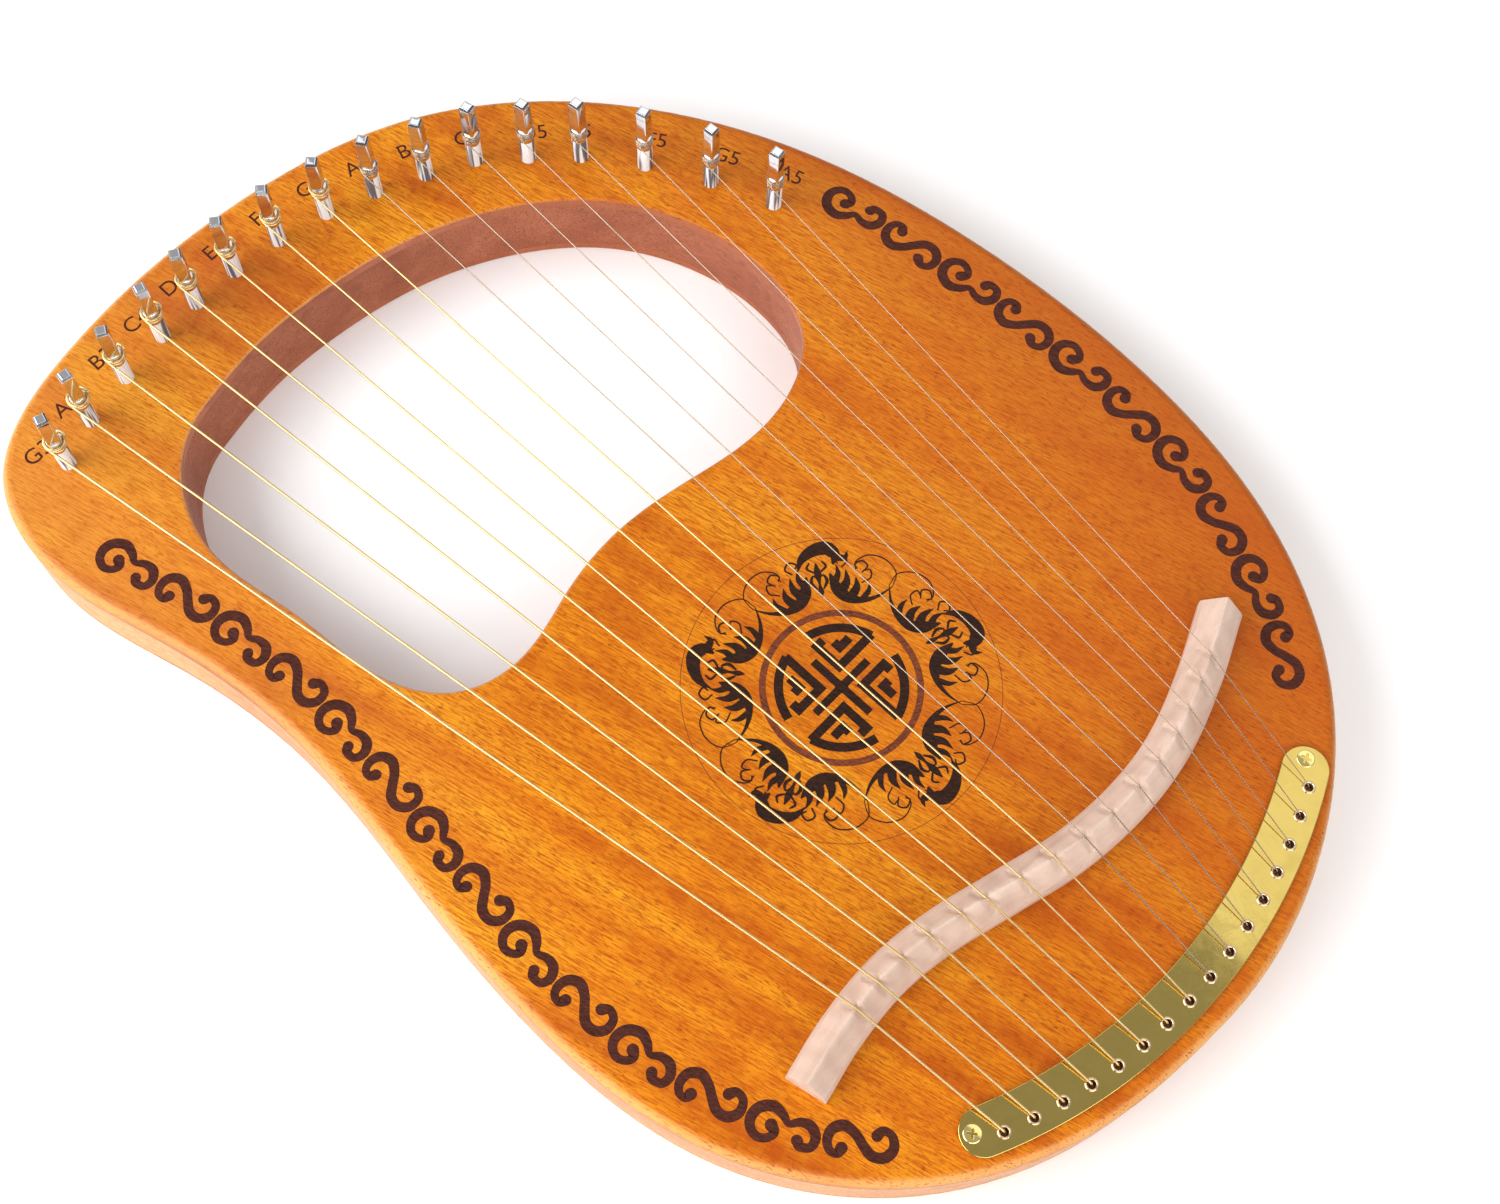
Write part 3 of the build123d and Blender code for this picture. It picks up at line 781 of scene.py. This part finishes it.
# Each note's name: its middle on the face in mm, and how far it leans clockwise in degrees
LABELS = {
    "g3": (-129.4, 189.7, 0), "a3": (-111.5, 196.4, 0), "b3": (-91.8, 201.8, 0), "c4": (-74.3, 204.3, 0),
    "d4": (-55.8, 206.2, 0), "e4": (-37.1, 206.5, 0), "f4": (-16.7, 205.2, 0), "g4": (3.0, 202, 5),
    "a4": (20.7, 196.3, 10), "b4": (38.0, 188.2, 18), "c5": (56, 177.2, 28), "d5": (73.7, 161.5, 36),
    "e5": (86, 150, 45), "f5": (102.3, 128, 55), "g5": (114.9, 105.5, 65), "a5": (125.2, 83.8, 72),
}
LABEL_SIZE = 8.2 * MM


def labels():
    """The note names, burned into the face beside the pins."""
    for note, (x, y, lean) in LABELS.items():
        text = bpy.data.curves.new("label", "FONT")
        text.body = note.upper()
        text.size = LABEL_SIZE
        text.align_x = "CENTER"
        text.align_y = "CENTER"
        text.extrude = BURN_HEIGHT
        mesh = mesh_of(text)
        turn = Matrix.Rotation(math.radians(-lean), 4, "Z")
        mesh.transform(Matrix.Translation((x * MM, y * MM, FACE)) @ turn)
        new_piece("label_" + note, mesh, ["burn_brown"], "harp")


# ---------------- pins, windings and strings

# The bridge's ridge, in mm
BRIDGE_LINE = [(-106, -138.4), (-86, -134.4), (-64, -132.9), (-42, -135.8), (-18, -142.3), (6, -148.5),
               (31, -150.7), (54, -148.4), (78, -141), (101, -131.2)]
RIDGE = smooth_line([Vector(point) for point in BRIDGE_LINE], 60)

PIN_SIDES = 64
PIN_R = 2.7
# How many degrees each head is turned, from the longest string to the shortest
HEAD_TURNS = [72, 80, 62, 74, 60, 52, 50, 42, 34, 30, 12, 12, 8, 14, 5, 10]

# A pin's profile in mm: height above the face, radius, and half the distance between its flats
PIN_FOOT = [(-22, 1.6, PIN_R), (-20.9, PIN_R, PIN_R), (11.75, PIN_R, PIN_R), (12, 2.58, PIN_R)]
PIN_SHAFT = [(11.9, 2.58, PIN_R), (12.5, 2.62, PIN_R), (17.7, 2.65, PIN_R), (18, 2.55, PIN_R)]
PIN_HEAD = [(18, 2.6, 2.1), (18.35, 2.85, 2.18), (18.9, 2.95, 2.2), (32, 2.85, 2.06), (32.15, 2.8, 2.02)]
PIN_BEVEL = [(32.15, 2.79, 2.01), (32.88, 2.2, 1.5)]
PIN_CROWN = [(32.8, 2.2, 1.5), (32.9, 2.19, 1.49), (33, 1.85, 1.3), (32.96, 0.9, 0.7)]
PIN_PARTS = ((PIN_FOOT, 1), (PIN_SHAFT, 0), (PIN_HEAD, 0), (PIN_BEVEL, 2), (PIN_CROWN, 0))

COIL_GAP = 0.05             # mm between a pin and its winding
PLATE_LEAD = 0.55           # a string stands this far above the plate before it bends
PLATE_BEND, NOTCH_BEND = 1.4, 4.0
TUCK_STEP, TUCK = 9, 0.03   # degrees a string's end goes round the pin at a step, and how much closer
WINDING_STEPS = 40


def pin_ring(x, y, z, radius, half, turn):
    """A ring of points round a pin: a circle of that radius cut by the four flats of a square."""
    ring = []
    for k in range(PIN_SIDES):
        angle = math.tau * k / PIN_SIDES
        flat = half / max(abs(math.cos(angle)), abs(math.sin(angle)))
        reach = min(radius, flat) * MM
        ring.append((x + reach * math.cos(angle + turn), y + reach * math.sin(angle + turn), FACE + z * MM))
    return ring


def pins():
    """Each tuning pin: a threaded foot, a round shaft and a tapered square head with a bevelled top."""
    for number, note in enumerate(PITCHES):
        pin = pin_place(note)
        turn = math.radians(HEAD_TURNS[number])
        bm = bmesh.new()
        for profile, finish in PIN_PARTS:
            skin(bm, [pin_ring(pin.x, pin.y, *row, turn) for row in profile], finish=finish)
        finishes = ["pin_steel", "pin_thread", "pin_edge"]
        piece = new_piece("pin_" + note, bm, finishes, "pin_" + note, 28)
        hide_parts("tuning_pin_" + note)


def pin_place(note):
    low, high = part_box("tuning_pin_" + note)
    return Vector(((low[0] + high[0]) / 2, (low[1] + high[1]) / 2, 0))


def string_run(note):
    """The places of a string's plate hole and bridge notch, and of its pin."""
    points = [vertex.co for vertex in NODES["string_" + note].data.vertices]
    lowest = min(p.z for p in points)
    foot = [p for p in points if p.z < lowest + 0.01 * MM]
    bend = [p for p in points if min((p.xy / MM - ridge).length for ridge in RIDGE) < 2.0]
    return sum(foot, Vector()) / len(foot), sum(bend, Vector()) / len(bend), pin_place(note)


def strings():
    """The strings and their windings on the pins."""
    plate_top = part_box("string_plate")[1][2]
    for number, note in enumerate(PITCHES):
        radius = STRING_D[number] / 2 * MM
        finish = "wound_string" if note in WOUND else "plain_string"
        hole, notch, pin = string_run(note)
        winding = (PIN_R + COIL_GAP) * MM + radius
        coil_low, coil_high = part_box("coil_" + note)
        ring_z = coil_low[2] + radius
        heading = math.atan2(pin.y - notch.y, pin.x - notch.x) + math.asin(winding / (pin - notch).xy.length)
        meet = heading + math.pi / 2

        def on_winding(angle, reach=winding):
            return Vector((pin.x + reach * math.cos(angle), pin.y + reach * math.sin(angle), ring_z))

        above_hole = (hole.x, hole.y, plate_top + PLATE_LEAD * MM)
        path = rounded_path([hole, above_hole, notch, on_winding(meet)], [PLATE_BEND * MM, NOTCH_BEND * MM])
        for step in range(1, 4):
            path.append(on_winding(meet - math.radians(TUCK_STEP * step), winding - TUCK * MM * step))
        bm = bmesh.new()
        tube(bm, path, radius)
        piece = new_piece("wire_" + note, bm, [finish], "harp")
        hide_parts("string_" + note)

        bm = bmesh.new()
        lowest_turn = [on_winding(math.tau * k / WINDING_STEPS) for k in range(WINDING_STEPS)]
        tube(bm, lowest_turn, radius, closed=True)
        tube(bm, turns_path(note, pin, winding, ring_z, coil_high[2] - radius, meet), radius)
        piece = new_piece("turns_" + note, bm, [finish], "pin_" + note)
        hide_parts("coil_" + note)


# Number of turns that climb the pin, how much wider the last one is, and how far it dips, in mm
WOUND_TURNS, PLAIN_TURNS = 1.6, 2.6
WOUND_LOOSE, PLAIN_LOOSE = 0.5, 0.2
LAST_DIP = 0.3
TURN_STEPS = 30


def turns_path(note, pin, winding, low, high, meet):
    """The rest of the winding, which climbs the pin from its lowest turn and ends in a looser one."""
    turns, loose = (WOUND_TURNS, WOUND_LOOSE) if note in WOUND else (PLAIN_TURNS, PLAIN_LOOSE)
    steps = int(turns * TURN_STEPS)
    path = []
    for step in range(steps + 1):
        turn = turns * step / steps
        last = max(0.0, turn - (turns - 1.0))
        reach = winding + loose * MM * last
        angle = meet - math.tau * turn
        z = low + (high - low) * (turn / turns) ** 0.8 - LAST_DIP * MM * last * (1 - math.cos(angle))
        path.append((pin.x + reach * math.cos(angle), pin.y + reach * math.sin(angle), z))
    return path


# ---------------- string plate and its screws

# In mm. The plate is a band between two arcs, with round ends; these are the points at its treble end.
PLATE_LOWER, PLATE_TIP, PLATE_UPPER = (81.4, -192), (85, -181.7), (74.7, -178)
PLATE_LOWER_MIDDLE, PLATE_UPPER_MIDDLE = (0, -210.6), (0, -194.4)
PLATE_THICK = 1.5
PLATE_EDGE = 0.3            # rounding of its edges
HOLE_R = 1.2
HOLE_SIDES = 48
LIP_R = 1.75                # centre radius of the rolled lip round each hole
LIP_ROUND = 0.4
LIP_FOOT = 0.9              # how far the lip's foot reaches below the plate's top
LIP_SEAT = 0.1              # how far the plate reaches under the lip

SCREW_R = 3.1               # radius of a screw's head
SCREW_DOME = 0.5
SCREW_RIM = 0.12            # height of the head's rounded rim
SCREW_SKIRT = 0.4
SCREW_RINGS, SCREW_SIDES = 26, 96
SCREW_TURNS = (35, 15)      # degrees that the left and right screw's cross is turned
CROSS_HALF, CROSS_REACH, CROSS_DEPTH = 0.42, 1.75, 0.75


def arc(first, middle, last, steps):
    """Points of the arc through three points, the last one left out."""
    a, b, c = (Vector(point) for point in (first, middle, last))
    ab, bc = b - a, c - b
    cross = 2 * (ab.x * bc.y - ab.y * bc.x)
    across_ab, across_bc = (b.length_squared - a.length_squared), (c.length_squared - b.length_squared)
    centre = Vector((across_ab * bc.y - across_bc * ab.y, across_bc * ab.x - across_ab * bc.x)) / cross
    start = math.atan2(a.y - centre.y, a.x - centre.x)
    end = math.atan2(c.y - centre.y, c.x - centre.x)
    if cross > 0 and end < start:
        end += math.tau
    if cross < 0 and end > start:
        end -= math.tau
    radius = (a - centre).length
    return [centre + radius * Vector((math.cos(t), math.sin(t)))
            for t in (start + (end - start) * k / steps for k in range(steps))]


def plate_outline():
    bass_lower, bass_tip, bass_upper = ((-x, y) for x, y in (PLATE_LOWER, PLATE_TIP, PLATE_UPPER))
    lower = arc(bass_lower, PLATE_LOWER_MIDDLE, PLATE_LOWER, 120)
    treble_end = arc(PLATE_LOWER, PLATE_TIP, PLATE_UPPER, 32)
    upper = arc(PLATE_UPPER, PLATE_UPPER_MIDDLE, bass_upper, 120)
    return lower + treble_end + upper + arc(bass_upper, bass_tip, bass_lower, 32)


def plate():
    """The string plate: a band with round ends and rounded edges, and a rolled lip round each hole."""
    holes = [string_run(note)[0].xy / MM for note in PITCHES]
    loops = [plate_outline()]
    for hole in holes:
        loops.append([hole + (LIP_R - LIP_SEAT) * Vector(way) for way in circle(HOLE_SIDES)])
    curve = bpy.data.curves.new("plate", "CURVE")
    curve.dimensions = "2D"
    curve.fill_mode = "BOTH"
    curve.extrude = (PLATE_THICK / 2 - PLATE_EDGE) * MM
    curve.bevel_depth = PLATE_EDGE * MM
    curve.bevel_resolution = 3
    curve.offset = -PLATE_EDGE * MM
    for points in loops:
        spline = curve.splines.new("POLY")
        spline.points.add(len(points) - 1)
        for spot, point in zip(spline.points, points):
            spot.co = (point.x * MM, point.y * MM, 0, 1)
        spline.use_cyclic_u = True
    mesh = mesh_of(curve)
    mesh.transform(Matrix.Translation((0, 0, FACE + PLATE_THICK / 2 * MM)))
    bm = bmesh.new()
    bm.from_mesh(mesh)
    for face in bm.faces:
        face.material_index = 0
    top = FACE + PLATE_THICK * MM
    section = [(HOLE_R, -LIP_FOOT), (HOLE_R, -0.35), (HOLE_R + 0.12, 0.02)]
    for k in range(7):
        angle = math.radians(165 - 30 * k)
        section.append((LIP_R + LIP_ROUND * math.cos(angle), LIP_ROUND * math.sin(angle)))
    section.append((LIP_R - LIP_SEAT, -LIP_FOOT))
    for hole in holes:
        rings = [[((hole.x + r * c) * MM, (hole.y + r * s) * MM, top + z * MM) for r, z in section]
                 for c, s in circle(HOLE_SIDES)]
        skin(bm, rings, closed=True, finish=1)
    piece = new_piece("plate", bm, ["plate_brass", "lip_brass"], "harp", 35)
    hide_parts("string_plate")


def screw_height(r, u, v):
    """Height of a screw's head, at that radius and at those distances from the axes of its cross."""
    share = r / SCREW_R
    height = SCREW_DOME * (1 - share ** 2) + SCREW_RIM * min(1.0, (1 - share) / 0.12) - SCREW_RIM
    near, far = min(u, v), max(u, v)
    if near < CROSS_HALF and far < CROSS_REACH:
        height -= CROSS_DEPTH * min(1.0, (CROSS_HALF - near) / 0.14, (CROSS_REACH - far) / 0.3)
    return height


def screws():
    """The plate's two screws: domed heads with a cross recess whose arms slope down to the middle."""
    low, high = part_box("plate_screws")
    y = (low[1] + high[1]) / 2
    edge_x = high[0] - SCREW_R * MM
    top = FACE + PLATE_THICK * MM
    bm = bmesh.new()
    for x, degrees in zip((-edge_x, edge_x), SCREW_TURNS):
        turn = math.radians(degrees)
        rings = []
        for step in range(SCREW_RINGS, -1, -1):
            r = (0.02 + 0.98 * (step / SCREW_RINGS)) * SCREW_R
            ring = []
            for k in range(SCREW_SIDES):
                angle = math.tau * k / SCREW_SIDES
                height = screw_height(r, abs(r * math.cos(angle)), abs(r * math.sin(angle)))
                ring.append((x + r * MM * math.cos(angle + turn), y + r * MM * math.sin(angle + turn),
                             top + height * MM))
            rings.append(ring)
        skirt = [(px, py, top - SCREW_SKIRT * MM) for px, py, pz in rings[0]]
        skin(bm, [skirt] + rings)
    piece = new_piece("screws", bm, ["screw_brass"], "harp", 30)
    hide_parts("plate_screws")


# ---------------- bridge

# In mm
BRIDGE_HALF = 7.2
BRIDGE_WALL = 4.5
BRIDGE_TOP = 14.0
STATION = 0.45              # between the bridge's cross-sections
BRIDGE_ROWS = 34            # strips across it
CHAMFER_START = 0.93        # share of the half width where its edge is broken
GROOVE_REACH = 7.0          # half the length of a notch's groove
GROOVE_HALF = 2.6           # and half its width at the most
GROOVE_FALL = 1.16          # slope of its floor away from the ridge
GROOVE_BANK = 0.62          # slope of its sides


def bridge():
    """A roof-shaped bar bent like an S, filed by hand on its ridge, with a V notch for each string."""
    notches = []
    for number, note in enumerate(PITCHES):
        _, notch, pin = string_run(note)
        floor = notch.z - STRING_D[number] / 2 * MM - FACE
        notches.append((notch.xy / MM, (pin - notch).xy.normalized(), floor / MM))
    stations = [RIDGE[0]]
    for point in RIDGE:
        if (point - stations[-1]).length >= STATION:
            stations.append(point)
    stations[-1] = RIDGE[-1]
    rings = []
    for i, middle in enumerate(stations):
        heading = (stations[min(i + 1, len(stations) - 1)] - stations[max(i - 1, 0)]).normalized()
        side = Vector((-heading.y, heading.x))
        near = [notch for notch in notches if (notch[0] - middle).length < 9]
        ring = [(middle - side * BRIDGE_HALF, 0.0)]
        for row in range(BRIDGE_ROWS + 1):
            share = -1 + 2 * row / BRIDGE_ROWS
            spot = middle + side * share * BRIDGE_HALF
            ring.append((spot, bridge_height(spot, share, i * STATION, near)))
        ring.append((middle + side * BRIDGE_HALF, 0.0))
        rings.append([(p.x * MM, p.y * MM, FACE + z * MM) for p, z in ring])
    bm = bmesh.new()
    skin(bm, rings)
    piece = new_piece("carved_bridge", bm, ["bridge_wood"], "harp", 19)
    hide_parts("bridge")


def bridge_height(spot, share, run, notches):
    """Height of the bridge's top, in mm above the face, at a share of its half width and a run along it."""
    reach = abs(share)
    crown = 0.28 * (0.35 + 0.12 * math.sin(run * 0.55) + 0.08 * math.sin(run * 1.37 + 1.0))
    roof = BRIDGE_TOP - (BRIDGE_TOP - BRIDGE_WALL) * (math.hypot(reach, crown) - crown) * 1.02
    roof += 0.10 * math.sin(run * 0.31 + share * 2.2) * (1 - reach) - 0.12
    height = min(roof, BRIDGE_TOP - 0.05)
    if reach > CHAMFER_START:
        height = min(height, BRIDGE_WALL + 0.7 - 0.9 * (reach - CHAMFER_START) / 0.07)
    for centre, heading, floor in notches:
        away = spot - centre
        along, off = abs(away.dot(heading)), abs(away.cross(heading))
        if along < GROOVE_REACH and off < GROOVE_HALF:
            ending = 1.0 if along < 4.5 else 1.0 - (along - 4.5) / 5
            fall = GROOVE_FALL * reach * BRIDGE_HALF * ending
            height = min(height, floor - fall + GROOVE_BANK * max(0.0, off - 0.3))
    return height


# ---------------- build

camera()
studio()
dress_cad()
band("ornament_left", LEFT_BAND, 1, 14, 23.5)
band("ornament_right", RIGHT_BAND, -1, 10, 24.58)
emblem()
labels()
pins()
strings()
plate()
screws()
bridge()
